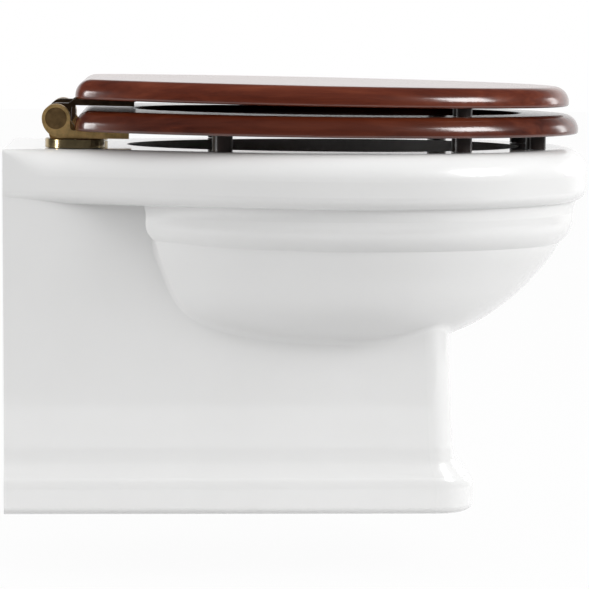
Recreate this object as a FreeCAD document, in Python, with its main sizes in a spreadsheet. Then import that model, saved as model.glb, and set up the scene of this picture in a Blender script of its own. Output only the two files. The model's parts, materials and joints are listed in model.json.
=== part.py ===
# Wall hung toilet with a wooden seat and lid on brass hinges.
# Frame: origin midway between the two wall bolts on the wall face, +X to the front, +Z up, millimetres.
import FreeCAD, Part
import math
import os
from FreeCAD import Placement, Rotation, Vector
from Sketcher import Constraint

# Driving dimensions, one sheet cell each
DIMENSIONS = {
    # pan, heights are drops below the rim top
    "rim_height": 78.0,
    "pan_height": 338.5,
    "pan_length": 552.4,
    "rim_half_width": 183.0,
    "rim_back_half_width": 112.5,
    "rim_widest_x": 326.0,
    "rim_roll_depth": 50.0,
    "rim_top_radius": 24.0,
    "rim_back_top_radius": 1.5,
    "rim_back_blend_x": 34.0,
    "rim_bottom_radius": 12.0,
    "band_inset_front": 12.4,
    "band_inset_side": 12.5,
    "band_bottom_drop": 95.0,
    "rim_cove_top_drop": 44.0,
    "rim_cove_bottom_drop": 64.0,
    "band_bottom_radius": 28.0,
    "bowl_centre_x": 330.0,
    "bowl_back_reach": 262.0,
    "bowl_top_drop": 84.0,
    "bowl_bottom_drop": 196.0,
    "bowl_blend_radius": 9.0,
    "bowl_front_blend_radius": 12.0,
    "block_half_width": 112.0,
    "block_back_corner": 5.0,
    "foot_half_width": 105.0,
    "foot_front_x": 418.0,
    "block_front_x": 405.0,
    "foot_corner_radius": 24.0,
    "plinth_corner_radius": 38.0,
    "plinth_step": 18.9,
    "plinth_side_step": 8.4,
    "plinth_height": 24.0,
    "plinth_bottom_radius": 7.0,
    "plinth_roll_height": 10.4,
    "moulding_height": 40.0,
    "skirt_wall": 9.0,
    "back_wall": 14.0,
    "platform_thickness": 16.0,
    "china_wall": 12.0,
    "rim_opening_back_x": 112.0,
    "rim_opening_front_x": 487.0,
    "rim_opening_half_width": 121.0,
    "rim_lip_depth": 46.0,
    "rim_channel_width": 24.0,
    "rim_roof": 14.0,
    # water ways
    "bolt_spacing": 180.0,
    "bolt_hole_radius": 10.0,
    "stud_clear_radius": 6.25,
    "outlet_below_bolts": 100.0,
    "outlet_bore_radius": 45.0,
    "outlet_bore_length": 52.0,
    "inlet_above_outlet": 135.0,
    "inlet_bore_radius": 27.5,
    "inlet_bore_length": 86.0,
    "inlet_seal_wall": 5.0,
    "inlet_seal_length": 32.0,
    "trap_bore_radius": 27.0,
    "trap_wall": 9.0,
    "trap_crown_x": 100.0,
    "trap_crown_drop": 118.0,
    "throat_back_x": 275.0,
    "throat_drop": 178.0,
    "sump_x": 255.0,
    "sump_drop": 212.0,
    # wall fixings
    "sleeve_flange_radius": 12.0,
    "sleeve_flange_thickness": 2.0,
    "fixing_washer_radius": 12.0,
    "fixing_washer_thickness": 2.5,
    "fixing_pocket_clearance": 1.0,
    "fixing_pocket_length": 30.0,
    "fixing_nut_radius": 10.97,
    "fixing_nut_height": 10.0,
    # hinges
    "hinge_spacing": 140.0,
    "hinge_hole_x": 64.6,
    "hinge_hole_radius": 8.0,
    "hinge_axis_x": 48.0,
    "gasket_thickness": 0.6,
    "gasket_inset": 3.0,
    "rosette_radius": 27.5,
    "rosette_height": 8.5,
    "rosette_edge": 0.8,
    "leaf_gap": 0.3,
    "plate_gap": 0.6,
    "leaf_drop": 18.2,
    "leaf_ring_radius": 13.0,
    "leaf_cove_radius": 4.0,
    "lid_leaf_flat": 10.3,
    "lid_leaf_slope": 7.0,
    "leaf_plate_thickness": 7.0,
    "seat_leaf_reach": 67.0,
    "lid_leaf_reach": 71.2,
    "leaf_width": 14.0,
    "post_width": 15.4,
    "post_barrel_radius": 11.5,
    "post_heel": 6.0,
    "post_toe": 21.5,
    "post_toe_height": 2.0,
    "pin_radius": 5.0,
    "pin_clearance": 0.05,
    "bush_wall": 1.5,
    "cap_radius": 10.0,
    "cap_thickness": 1.6,
    "cap_recess": 2.2,
    "grub_radius": 2.5,
    "grub_length": 6.0,
    "hinge_stud_radius": 4.0,
    "hinge_stud_in_post": 7.0,
    "hinge_stud_below_nut": 8.0,
    "hinge_bush_bore": 4.4,
    "hinge_washer_radius": 14.0,
    "hinge_washer_thickness": 3.0,
    "wing_nut_radius": 8.5,
    "wing_nut_height": 9.0,
    "wing_span": 36.0,
    "wing_thickness": 3.5,
    # seat and lid
    "seat_tilt": 0.45,
    "lid_tilt": 0.85,
    "seat_back_gap": 0.3,
    "seat_front_x": 543.6,
    "seat_half_width": 170.0,
    "seat_back_reach": 282.0,
    "seat_back_corner": 22.0,
    "seat_widest_x": 290.0,
    "seat_thickness": 18.6,
    "seat_top_radius": 15.0,
    "seat_bottom_radius": 2.5,
    "seat_opening_back_x": 122.0,
    "seat_opening_front_x": 484.0,
    "seat_opening_half_width": 108.0,
    "seat_opening_radius": 7.0,
    "lid_front_x": 534.0,
    "lid_half_width": 163.0,
    "lid_thickness": 18.4,
    "lid_top_radius": 15.0,
    # buffers and screws
    "buffer_gap": 0.3,
    "seat_buffer_radius": 9.4,
    "lid_buffer_radius": 9.0,
    "buffer_screw_head_radius": 3.8,
    "buffer_screw_head_height": 2.4,
    "buffer_screw_head_depth": 5.0,
    "screw_radius": 2.0,
    "screw_depth": 11.0,
    "leaf_screw_head_radius": 4.0,
    "leaf_screw_head_height": 2.2,
    "leaf_screw_first": 36.0,
    "leaf_screw_pitch": 20.0,
    "rear_buffer_x": 200.4,
    "rear_buffer_y": 132.0,
    "middle_buffer_x": 420.0,
    "middle_buffer_y": 118.0,
    "front_buffer_x": 496.0,
    "front_buffer_y": 60.0,
}

doc = FreeCAD.newDocument("wall_hung_toilet")
sheet = doc.addObject("Spreadsheet::Sheet", "dims")
for row, (alias, value) in enumerate(DIMENSIONS.items(), start=1):
    sheet.set(f"A{row}", alias)
    sheet.set(f"B{row}", str(value))
    sheet.setAlias(f"B{row}", alias)
doc.recompute()

# Heights that several pieces share, as sheet expressions
PLATE_BOTTOM = (
    "(dims.rim_height + dims.gasket_thickness + dims.rosette_height + dims.plate_gap)"
)
ROSETTE_TOP = f"({PLATE_BOTTOM} - dims.plate_gap)"
AXIS_Z = f"({PLATE_BOTTOM} + dims.leaf_drop)"
SEAT_BOTTOM = f"({PLATE_BOTTOM} + dims.leaf_plate_thickness)"
SEAT_TOP = f"({SEAT_BOTTOM} + dims.seat_thickness)"
LID_BOTTOM = f"({AXIS_Z} + dims.leaf_drop)"
LEAF_CENTRE = "(dims.post_width / 2 + dims.leaf_gap + dims.leaf_width / 2)"
PLATFORM_UNDERSIDE = "(dims.rim_height - dims.platform_thickness)"
BORE = "(dims.pin_radius + dims.pin_clearance)"
BUSH_OUTSIDE = f"({BORE} + dims.bush_wall)"
SEAT_BACK = "(dims.hinge_axis_x + dims.leaf_ring_radius + dims.leaf_cove_radius + dims.seat_back_gap)"

SIDES = {"right": -1, "left": 1}
TURN_TO_X = Rotation(Vector(0, 1, 0), 90)
TURN_TO_Y = Rotation(Vector(1, 0, 0), -90)
UPRIGHT = Rotation()
HALF_TURN_ABOUT_X = Rotation(Vector(1, 0, 0), 180)

nodes = []


def size(expression):
    """The value of a sheet expression, for shapes that are built directly."""
    result = sheet.evalExpression(expression.replace("dims.", ""))
    return float(result)


def bind(item, **expressions):
    for prop, expression in expressions.items():
        item.setExpression(prop.replace("__", "."), expression)
    return item


def place(item, x="0", y="0", z="0", turn=UPRIGHT):
    """Puts an object at sheet expressions, with a fixed turn."""
    item.Placement = Placement(Vector(), turn)
    return bind(item, Placement__Base__x=x, Placement__Base__y=y, Placement__Base__z=z)


def cylinder(name, radius, height, turn=UPRIGHT, **at):
    item = doc.addObject("Part::Cylinder", name)
    return place(bind(item, Radius=radius, Height=height), turn=turn, **at)


def cone(name, radius_low, radius_high, height, turn=UPRIGHT, **at):
    item = doc.addObject("Part::Cone", name)
    return place(bind(item, Radius1=radius_low, Radius2=radius_high, Height=height), turn=turn, **at)


def box(name, length, width, height, **at):
    item = doc.addObject("Part::Box", name)
    return place(bind(item, Length=length, Width=width, Height=height), **at)


def hexagon(name, circumradius, height, turn=UPRIGHT, **at):
    item = doc.addObject("Part::Prism", name)
    item.Polygon = 6
    return place(bind(item, Circumradius=circumradius, Height=height), turn=turn, **at)


def fuse(name, *items):
    joined = doc.addObject("Part::MultiFuse", name)
    joined.Shapes = list(items)
    return joined


def cut(name, base, tool):
    made = doc.addObject("Part::Cut", name)
    made.Base = base
    made.Tool = tool
    return made


def group(name, items):
    """Identical pieces that share one node as separate solids."""
    made = doc.addObject("Part::Compound", name)
    made.Links = list(items)
    return made


def node(item, label):
    item.Label = label
    nodes.append(item)
    return item


def free_form(label, shape):
    item = doc.addObject("Part::Feature", label)
    item.Shape = shape
    item.Placement = Placement()
    return node(item, label)


# Outlines of the free-form pieces
def mirrored_wire(edges, z):
    """Closes a half outline on +Y with its mirror image, at height z."""
    mirrored = [edge.mirror(Vector(), Vector(0, 1, 0)) for edge in reversed(edges)]
    wire = Part.Wire(Part.__sortEdges__(edges + mirrored))
    wire.translate(Vector(0, 0, z))
    return wire


def quarter_ellipse(centre_x, reach, half_width, start, end):
    """Quarter ellipse about (centre_x, 0); reach is along X, angles from +X towards +Y."""
    if reach >= half_width:
        curve = Part.Ellipse(Vector(), reach, half_width)
        return curve_arc(curve, start, end, 0, centre_x)
    curve = Part.Ellipse(Vector(), half_width, reach)
    return curve_arc(curve, start, end, 90, centre_x)


def curve_arc(curve, start, end, turned, centre_x):
    edge = curve.toShape(math.radians(start - turned), math.radians(end - turned))
    edge.rotate(Vector(), Vector(0, 0, 1), turned)
    edge.translate(Vector(centre_x, 0, 0))
    return edge


def egg(back_x, front_x, half_width, centre_x, z):
    """Two half ellipses that meet at the widest place."""
    front = quarter_ellipse(centre_x, front_x - centre_x, half_width, 0, 90)
    back = quarter_ellipse(centre_x, centre_x - back_x, half_width, 90, 180)
    return mirrored_wire([front, back], z)


def shouldered(back_x, back_half, corner, split_x, widest_x, half_width, front_x, z):
    """Straight back with rounded corners, sides in two swelling runs, elliptical front."""
    middle = corner * (1 - 0.5**0.5)
    corner_arc = Part.Arc(
        Vector(back_x, back_half - corner, 0),
        Vector(back_x + middle, back_half - middle, 0),
        Vector(back_x + corner, back_half, 0),
    )
    swell = Part.BSplineCurve()
    ends = [Vector(back_x + corner, back_half, 0), Vector(widest_x, half_width, 0)]
    swell.interpolate(Points=ends, InitialTangent=Vector(1, 0, 0), FinalTangent=Vector(1, 0, 0))
    split = swell.parameter(Vector(split_x, back_half, 0))
    runs = [swell.toShape(swell.FirstParameter, split), swell.toShape(split, swell.LastParameter)]
    front = quarter_ellipse(widest_x, front_x - widest_x, half_width, 0, 90)
    back = Part.LineSegment(Vector(back_x, 0, 0), Vector(back_x, back_half - corner, 0))
    return mirrored_wire([back.toShape(), corner_arc.toShape(), *runs, front], z)


def cut_egg(back_x, reach, half_width, centre_x, front_x, z):
    """Egg whose back end is cut off straight."""
    share = (centre_x - back_x) / reach
    back_half = half_width * (1 - share**2) ** 0.5
    back = Part.LineSegment(Vector(back_x, 0, 0), Vector(back_x, back_half, 0)).toShape()
    side = quarter_ellipse(centre_x, reach, half_width, 90, math.degrees(math.acos(-share)))
    front = quarter_ellipse(centre_x, front_x - centre_x, half_width, 0, 90)
    return mirrored_wire([back, side, front], z)


def block_outline(half_width, front_x, front_corner, back_x, back_corner, z):
    """Long block with rounded corners."""
    rear = back_corner * (1 - 0.5**0.5)
    nose = front_corner * (1 - 0.5**0.5)
    points = [
        Vector(back_x, 0, 0),
        Vector(back_x, half_width - back_corner, 0),
        Vector(back_x + back_corner, half_width, 0),
        Vector(front_x - front_corner, half_width, 0),
        Vector(front_x, half_width - front_corner, 0),
        Vector(front_x, 0, 0),
    ]
    rear_arc = Part.Arc(points[1], Vector(back_x + rear, half_width - rear, 0), points[2])
    nose_arc = Part.Arc(points[3], Vector(front_x - nose, half_width - nose, 0), points[4])
    edges = [
        Part.LineSegment(points[0], points[1]).toShape(),
        rear_arc.toShape(),
        Part.LineSegment(points[2], points[3]).toShape(),
        nose_arc.toShape(),
        Part.LineSegment(points[4], points[5]).toShape(),
    ]
    return mirrored_wire(edges, z)


def prism(wire, height):
    return Part.Face(wire).extrude(Vector(0, 0, height))


def level_edges(shape, z, tolerance=0.01):
    """Edges that lie in the plane at height z."""
    found = []
    for edge in shape.Edges:
        low, high = edge.BoundBox.ZMin, edge.BoundBox.ZMax
        if abs(low - z) < tolerance and abs(high - z) < tolerance:
            found.append(edge)
    return found


def tube(points, radius):
    """Round tube along straight runs, with ball corners."""
    pieces = []
    for start, end in zip(points, points[1:]):
        run = end - start
        pieces.append(Part.makeCylinder(radius, run.Length, start, run))
    for corner in points[1:-1]:
        pieces.append(Part.makeSphere(radius, corner))
    return pieces[0].fuse(pieces[1:])


# The pan: one hollow glazed casting
def rim_roll():
    rim = size("dims.rim_height")
    depth = size("dims.rim_roll_depth")
    wire = shouldered(
        size("-2 * dims.block_back_corner"),
        size("dims.rim_back_half_width"),
        size("dims.block_back_corner"),
        size("dims.rim_back_blend_x"),
        size("dims.rim_widest_x"),
        size("dims.rim_half_width"),
        size("dims.pan_length"),
        rim - depth,
    )
    roll = prism(wire, depth)
    roll = roll.makeFillet(size("dims.rim_bottom_radius"), front_edges(roll, rim - depth))
    tight = size("dims.rim_back_top_radius")
    full = size("dims.rim_top_radius")
    edges = front_edges(roll, rim)
    return varied_fillet("rim", roll, edges, lambda point: tight if point.x < 1 else full)


def varied_fillet(name, shape, edges, radius_at):
    """Fillet whose radius at each edge end is given by radius_at of that point."""
    blank = doc.addObject("Part::Feature", f"{name}_blank")
    blank.Shape = shape
    wanted = [edge.hashCode() for edge in edges]
    radii = []
    for index, edge in enumerate(shape.Edges, start=1):
        if edge.hashCode() in wanted:
            ends = [edge.valueAt(edge.FirstParameter), edge.valueAt(edge.LastParameter)]
            radii.append((index, *[radius_at(end) for end in ends]))
    rounded = doc.addObject("Part::Fillet", f"{name}_rounded")
    rounded.Base = blank
    rounded.Edges = radii
    doc.recompute()
    return rounded.Shape.copy()


def front_edges(shape, z):
    """Edges at height z that show in front of the wall."""
    return [edge for edge in level_edges(shape, z) if edge.BoundBox.XMax > 1]


def band():
    rim = size("dims.rim_height")
    low = rim - size("dims.band_bottom_drop")
    front = size("dims.pan_length - dims.band_inset_front")
    half = size("dims.rim_half_width - dims.band_inset_side")
    centre = size("dims.bowl_centre_x")
    back = centre - size("dims.bowl_back_reach")
    ring = prism(egg(back, front, half, centre, low), size("dims.band_bottom_drop - dims.rim_roof"))
    return ring.makeFillet(size("dims.band_bottom_radius"), level_edges(ring, low))


RIM_COVE_PROFILE = [
    # share of the way down the cove, share of the step from rim to band
    (0.0, 0.40),
    (0.2, 0.70),
    (0.4, 0.86),
    (0.6, 0.945),
    (0.8, 0.99),
    (1.0, 1.02),
]


def rim_cove():
    """Hollow curve from the rim roll in to the band."""
    rim = size("dims.rim_height")
    top = size("dims.rim_cove_top_drop")
    low = size("dims.rim_cove_bottom_drop")
    centre = size("dims.bowl_centre_x")
    back = centre - size("dims.bowl_back_reach")
    wires = []
    for down, share in RIM_COVE_PROFILE:
        front = size("dims.pan_length") - share * size("dims.band_inset_front")
        half = size("dims.rim_half_width") - share * size("dims.band_inset_side")
        wires.append(egg(back, front, half, centre, rim - top - (low - top) * down))
    return Part.makeLoft(wires, True, False)


BOWL_LEVELS = [
    # share of the way down, share of the reach from the centre to the band, share of the band's width
    (0.0, 0.943, 0.947),
    (0.083, 0.934, 0.934),
    (0.167, 0.907, 0.915),
    (0.25, 0.872, 0.895),
    (0.333, 0.834, 0.877),
    (0.417, 0.794, 0.858),
    (0.5, 0.746, 0.836),
    (0.583, 0.692, 0.805),
    (0.667, 0.632, 0.758),
    (0.75, 0.558, 0.695),
    (0.833, 0.465, 0.585),
    (0.917, 0.349, 0.42),
    (1.0, 0.196, 0.20),
]


def bowl():
    rim = size("dims.rim_height")
    top = rim - size("dims.bowl_top_drop")
    low = rim - size("dims.bowl_bottom_drop")
    centre = size("dims.bowl_centre_x")
    reach = size("dims.pan_length - dims.band_inset_front") - centre
    half = size("dims.rim_half_width - dims.band_inset_side")
    back = centre - size("dims.bowl_back_reach")
    wires = []
    for down, length_share, width_share in BOWL_LEVELS:
        z = top + (low - top) * down
        wires.append(egg(back, centre + reach * length_share, half * width_share, centre, z))
    collar = prism(wires[0], rim - size("dims.rim_roof") - top)
    return Part.makeLoft(wires, True, False).fuse(collar)


PLINTH_ROLL_PROFILE = [
    # share of the roll's height, share of the plinth's step: a quarter round on the plinth's face
    (0.0, 1.0),
    (0.2, 0.988),
    (0.4, 0.958),
    (0.6, 0.914),
    (0.8, 0.845),
    (1.0, 0.73),
]

MOULDING_PROFILE = [
    # share of the moulding's height, share of the plinth's step: a small round edge under a long cove
    (0.0, 0.73),
    (0.1, 0.57),
    (0.2, 0.37),
    (0.3, 0.19),
    (0.4, 0.095),
    (0.5, 0.055),
    (0.6, 0.031),
    (0.7, 0.015),
    (0.8, 0.006),
    (0.9, 0.0015),
    (1.0, 0.0),
]


def block_and_foot():
    rim = size("dims.rim_height")
    bottom = rim - size("dims.pan_height")
    roll_low = bottom + size("dims.plinth_height")
    cove_low = roll_low + size("dims.plinth_roll_height")
    foot_low = cove_low + size("dims.moulding_height")
    corner = size("dims.foot_corner_radius")
    back_corner = size("dims.block_back_corner")
    foot_half = size("dims.foot_half_width")
    foot_front = size("dims.foot_front_x")
    step = size("dims.plinth_step")
    side_step = size("dims.plinth_side_step")
    behind = -2 * back_corner
    plinth_corner = size("dims.plinth_corner_radius")
    top_half = size("dims.block_half_width")
    top_front = size("dims.block_front_x")
    roof = rim - size("dims.rim_roof")
    side_draft = (top_half - foot_half) / (roof - foot_low)
    front_draft = (top_front - foot_front) / (roof - foot_low)

    def outline(grow, z):
        half = foot_half + side_draft * (z - foot_low) + side_step * grow
        front = foot_front + front_draft * (z - foot_low) + step * grow
        turn = corner + (plinth_corner - corner) * grow
        return block_outline(half, front, turn, behind, back_corner, z)

    def moulded(profile, low, high):
        return Part.makeLoft([outline(grow, low + up * (high - low)) for up, grow in profile], True, False)

    plinth = prism(outline(1.0, roll_low), bottom - roll_low)
    plinth = plinth.makeFillet(size("dims.plinth_bottom_radius"), front_edges(plinth, bottom))
    roll = moulded(PLINTH_ROLL_PROFILE, roll_low, cove_low)
    moulding = moulded(MOULDING_PROFILE, cove_low, foot_low)
    shaft = Part.makeLoft([outline(0.0, foot_low), outline(0.0, roof)], True, True)
    return shaft.fuse([moulding, roll, plinth])


def meeting_edges(shape, first, second):
    """Edges of a fused shape that lie on the skins of both pieces."""
    found = []
    for edge in shape.Edges:
        middle = edge.valueAt((edge.FirstParameter + edge.LastParameter) / 2)
        spot = Part.Vertex(middle)
        if all(spot.distToShape(piece.Shells[0])[0] < 0.001 for piece in (first, second)):
            found.append(edge)
    return found


def bowl_on_block():
    """Block and bowl with a hollow blend between them, smaller under the front of the bowl."""
    block = block_and_foot()
    full_bowl = bowl()
    behind_wall = Part.makeBox(50, 1000, 1000, Vector(-50, -500, -500))
    joined = block.fuse(full_bowl).cut(behind_wall).removeSplitter()
    wide = size("dims.bowl_blend_radius")
    narrow = size("dims.bowl_front_blend_radius")
    nose_x = size("dims.block_front_x")
    seam = meeting_edges(joined, block, full_bowl)
    return varied_fillet("bowl", joined, seam, lambda point: wide if point.x < nose_x else narrow)


BOWL_INSIDE_LEVELS = [
    # share of the way down to the throat, share of the rim's reach and width
    (0.0, 0.98),
    (0.167, 0.95),
    (0.333, 0.91),
    (0.5, 0.855),
    (0.667, 0.775),
    (0.833, 0.65),
    (1.0, 0.48),
]


def bowl_inside(grow):
    """The bowl's inside down to the sump, grown outwards by grow for its china wall."""
    rim = size("dims.rim_height")
    centre = size("dims.bowl_centre_x")
    channel = size("dims.rim_channel_width + dims.china_wall")
    back = size("dims.rim_opening_back_x") - channel
    front = size("dims.rim_opening_front_x") + channel
    half = size("dims.rim_opening_half_width") + channel
    throat_back = size("dims.throat_back_x")
    top = rim - size("dims.rim_lip_depth")
    throat = rim - size("dims.throat_drop") - grow
    low = rim - size("dims.sump_drop + dims.trap_bore_radius") - grow
    sump = size("dims.sump_x")
    reach = size("dims.trap_bore_radius + dims.china_wall")
    wires = []
    for down, share in BOWL_INSIDE_LEVELS:
        x_back = back + (throat_back - back) * down - grow
        x_front = front * share + (sump + reach) * (1 - share) + grow
        width = half * share + reach * (1 - share) + grow
        x_centre = centre * share + (x_back + x_front) / 2 * (1 - share)
        wires.append(egg(x_back, x_front, width, x_centre, top + (throat - top) * down))
    floor = egg(sump - reach - 2 * grow, sump + reach + grow, reach + grow, sump, low)
    sides = Part.makeLoft(wires, True, False)
    return sides.fuse(Part.makeLoft([wires[-1], floor], True, True))


def rim_ring(grow, height_low, height_high):
    """Prism of the rim opening's outline, grown by grow."""
    back = size("dims.rim_opening_back_x") - grow
    front = size("dims.rim_opening_front_x") + grow
    half = size("dims.rim_opening_half_width") + grow
    wire = egg(back, front, half, size("dims.bowl_centre_x"), height_low)
    return prism(wire, height_high - height_low)


def trap_route():
    rim = size("dims.rim_height")
    outlet_z = -size("dims.outlet_below_bolts")
    return [
        Vector(size("dims.sump_x"), 0, rim - size("dims.sump_drop")),
        Vector(size("dims.trap_crown_x"), 0, rim - size("dims.trap_crown_drop")),
        Vector(size("dims.outlet_bore_length"), 0, outlet_z),
    ]


def pan():
    rim = size("dims.rim_height")
    above = rim + 1
    bottom = rim - size("dims.pan_height")
    wall = size("dims.china_wall")
    skirt = size("dims.skirt_wall")
    lip_low = rim - size("dims.rim_lip_depth")
    roof = rim - size("dims.rim_roof")
    channel = size("dims.rim_channel_width")

    behind_wall = Part.makeBox(50, 1000, 1000, Vector(-50, -500, -500))
    outside = bowl_on_block().fuse([band(), rim_cove(), rim_roll()])
    outside = outside.cut(behind_wall).removeSplitter()

    trap_radius = size("dims.trap_bore_radius")
    outlet_radius = size("dims.outlet_bore_radius")
    outlet_length = size("dims.outlet_bore_length")
    outlet_mouth = Vector(0, 0, -size("dims.outlet_below_bolts"))
    inlet_radius = size("dims.inlet_bore_radius")
    inlet_length = size("dims.inlet_bore_length")
    inlet_mouth = Vector(0, 0, size("dims.inlet_above_outlet - dims.outlet_below_bolts"))
    forward = Vector(1, 0, 0)

    trap_skin = trap_radius + size("dims.trap_wall")
    outlet_skin = outlet_radius + size("dims.trap_wall")
    core = bowl_inside(wall).fuse(
        [
            rim_ring(channel + 2 * wall, lip_low - wall, above),
            tube(trap_route(), trap_skin),
            Part.makeSphere(trap_skin, trap_route()[2]),
            Part.makeCylinder(outlet_skin, outlet_length + trap_skin / 2, outlet_mouth, forward),
            Part.makeCylinder(inlet_radius + skirt, inlet_length + skirt, inlet_mouth, forward),
        ]
    )
    low_half = size("dims.foot_half_width") - skirt
    top_half = size("dims.block_half_width") - skirt
    inner_corner = size("dims.foot_corner_radius") - skirt
    inner_front = size("dims.foot_front_x") - skirt
    inner_back = size("dims.back_wall")
    rear_corner = size("dims.block_back_corner")
    ceiling = size(PLATFORM_UNDERSIDE)
    hollow_wires = [
        block_outline(low_half, inner_front, inner_corner, inner_back, rear_corner, bottom - 1),
        block_outline(top_half, inner_front, inner_corner, inner_back, rear_corner, ceiling),
    ]
    hollow = Part.makeLoft(hollow_wires, True, True).cut(core)

    channel_void = rim_ring(channel + wall, lip_low, roof).cut(rim_ring(wall, lip_low - 1, above))
    bolt_y = size("dims.bolt_spacing") / 2
    hinge_y = size("dims.hinge_spacing") / 2
    hinge_x = size("dims.hinge_hole_x")
    hollow_back = 2 * inner_back
    voids = [
        hollow,
        bowl_inside(0),
        rim_ring(0, lip_low - 1, above),
        channel_void,
        tube(trap_route(), trap_radius),
        Part.makeSphere(trap_radius, trap_route()[2]),
        Part.makeCylinder(outlet_radius, outlet_length, outlet_mouth, forward),
        Part.makeCylinder(inlet_radius, inlet_length, inlet_mouth, forward),
    ]
    for side in SIDES.values():
        bolt = Vector(0, side * bolt_y, 0)
        voids.append(Part.makeCylinder(size("dims.bolt_hole_radius"), hollow_back, bolt, forward))
        pocket = bolt + forward * inner_back
        pocket_radius = size("dims.fixing_washer_radius + dims.fixing_pocket_clearance")
        voids.append(Part.makeCylinder(pocket_radius, size("dims.fixing_pocket_length"), pocket, forward))
        hinge = Vector(hinge_x, side * hinge_y, ceiling - 1)
        voids.append(Part.makeCylinder(size("dims.hinge_hole_radius"), above - hinge.z, hinge))
    shape = outside
    for void in voids:
        shape = shape.cut(void)
    return shape


free_form("pan_body", pan())


# Seat and lid: solid wood with bullnosed edges
def leaf_screw_places():
    first = size("dims.hinge_axis_x + dims.leaf_screw_first")
    pitch = size("dims.leaf_screw_pitch")
    return [first, first + pitch]


def pilot_holes(shape, places, low, high):
    for x, y in places:
        shape = shape.cut(Part.makeCylinder(size("dims.screw_radius"), high - low, Vector(x, y, low)))
    return shape


def wooden_board(half_width, front_x, low, thickness, top_radius):
    back = size(SEAT_BACK)
    wire = cut_egg(back, size("dims.seat_back_reach"), half_width, size("dims.seat_widest_x"), front_x, low)
    board = prism(wire, thickness)
    corners = [edge for edge in board.Edges if edge.BoundBox.ZLength > 1 and edge.BoundBox.XMax < back + 1]
    board = board.makeFillet(size("dims.seat_back_corner"), corners)
    board = board.makeFillet(top_radius, level_edges(board, low + thickness))
    return board.makeFillet(size("dims.seat_bottom_radius"), level_edges(board, low))


def both_sides(places):
    return [(x, side * y) for side in SIDES.values() for x, y in places]


def seat_leaf_y():
    return size("dims.hinge_spacing / 2") + size(LEAF_CENTRE)


def lid_leaf_y():
    return size("dims.hinge_spacing / 2") - size(LEAF_CENTRE)


def seat():
    low = size(SEAT_BOTTOM)
    thickness = size("dims.seat_thickness")
    half = size("dims.seat_half_width")
    radius = size("dims.seat_top_radius")
    board = wooden_board(half, size("dims.seat_front_x"), low, thickness, radius)
    opening = egg(
        size("dims.seat_opening_back_x"),
        size("dims.seat_opening_front_x"),
        size("dims.seat_opening_half_width"),
        size("dims.seat_widest_x"),
        low - 1,
    )
    board = board.cut(prism(opening, thickness + 2))
    inside = [edge for edge in level_edges(board, low + thickness) if inside_opening(edge)]
    board = board.makeFillet(size("dims.seat_opening_radius"), inside)
    buffers = [(size(x), size(y)) for x, y in SEAT_BUFFERS]
    leaf = [(x, seat_leaf_y()) for x in leaf_screw_places()]
    return pilot_holes(board, both_sides(buffers + leaf), low, low + size("dims.screw_depth"))


def inside_opening(edge):
    reach = size("dims.seat_opening_half_width") + 1
    return max(abs(edge.BoundBox.YMin), abs(edge.BoundBox.YMax)) < reach


def lid():
    low = size(LID_BOTTOM)
    thickness = size("dims.lid_thickness")
    half = size("dims.lid_half_width")
    radius = size("dims.lid_top_radius")
    board = wooden_board(half, size("dims.lid_front_x"), low, thickness, radius)
    buffers = [(size(x), size(y)) for x, y in LID_BUFFERS]
    leaf = [(x, lid_leaf_y()) for x in leaf_screw_places()]
    return pilot_holes(board, both_sides(buffers + leaf), low, low + size("dims.screw_depth"))


SEAT_BUFFERS = [
    ("dims.rear_buffer_x", "dims.rear_buffer_y"),
    ("dims.middle_buffer_x", "dims.middle_buffer_y"),
    ("dims.front_buffer_x", "dims.front_buffer_y"),
]
LID_BUFFERS = [("dims.middle_buffer_x", "dims.middle_buffer_y")]

free_form("seat_ring", seat())
free_form("lid_panel", lid())


# Buffers and their screws
def buffer_set(prefix, places, radius, top, bottom, lean):
    """Round buffers under a board that leans forward, each held by a recessed screw."""
    buffers = []
    screws = []
    for index, (x, y) in enumerate(places):
        base = f"({bottom} + dims.buffer_gap + ({x} - dims.hinge_axis_x) * tan({lean} * 1 deg))"
        height = f"({top} - {base})"
        head_low = f"({base} + dims.buffer_screw_head_depth - dims.buffer_screw_head_height)"
        shank_length = f"({height} - dims.buffer_screw_head_depth + dims.screw_depth)"
        for side, sign in SIDES.items():
            at = {"x": x, "y": f"{sign} * {y}"}
            tag = f"{prefix}_{side}_{index}"
            body = cylinder(f"{tag}_block", radius, height, z=base, **at)
            well = cylinder(f"{tag}_well", "dims.buffer_screw_head_radius", "dims.buffer_screw_head_depth",
                            z=base, **at)
            hole = cylinder(f"{tag}_hole", "dims.screw_radius", height, z=base, **at)
            buffers.append(cut(f"{tag}_buffer", body, fuse(f"{tag}_bore", well, hole)))
            head = cylinder(f"{tag}_head", "dims.buffer_screw_head_radius",
                            "dims.buffer_screw_head_height", z=head_low, **at)
            shank = cylinder(f"{tag}_shank", "dims.screw_radius", shank_length,
                             z=f"({base} + dims.buffer_screw_head_depth)", **at)
            screws.append(fuse(f"{tag}_screw", head, shank))
    node(group(f"{prefix}_buffers", buffers), f"{prefix}_buffers")
    node(group(f"{prefix}_buffer_screws", screws), f"{prefix}_buffer_screws")


buffer_set("seat", SEAT_BUFFERS, "dims.seat_buffer_radius", SEAT_BOTTOM, "dims.rim_height",
           "dims.seat_tilt")
buffer_set("lid", LID_BUFFERS, "dims.lid_buffer_radius", LID_BOTTOM, SEAT_TOP,
           "(dims.lid_tilt - dims.seat_tilt)")


# Hinge leaves: a ring about the pin with a plate, the seat's with a round heel below the ring
def plane_of(body, role):
    return next(item for item in body.Origin.OriginFeatures if item.Role == role)


HALF_TURN = math.pi
SKETCH_NORMAL = Vector(0, 0, 1)


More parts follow.
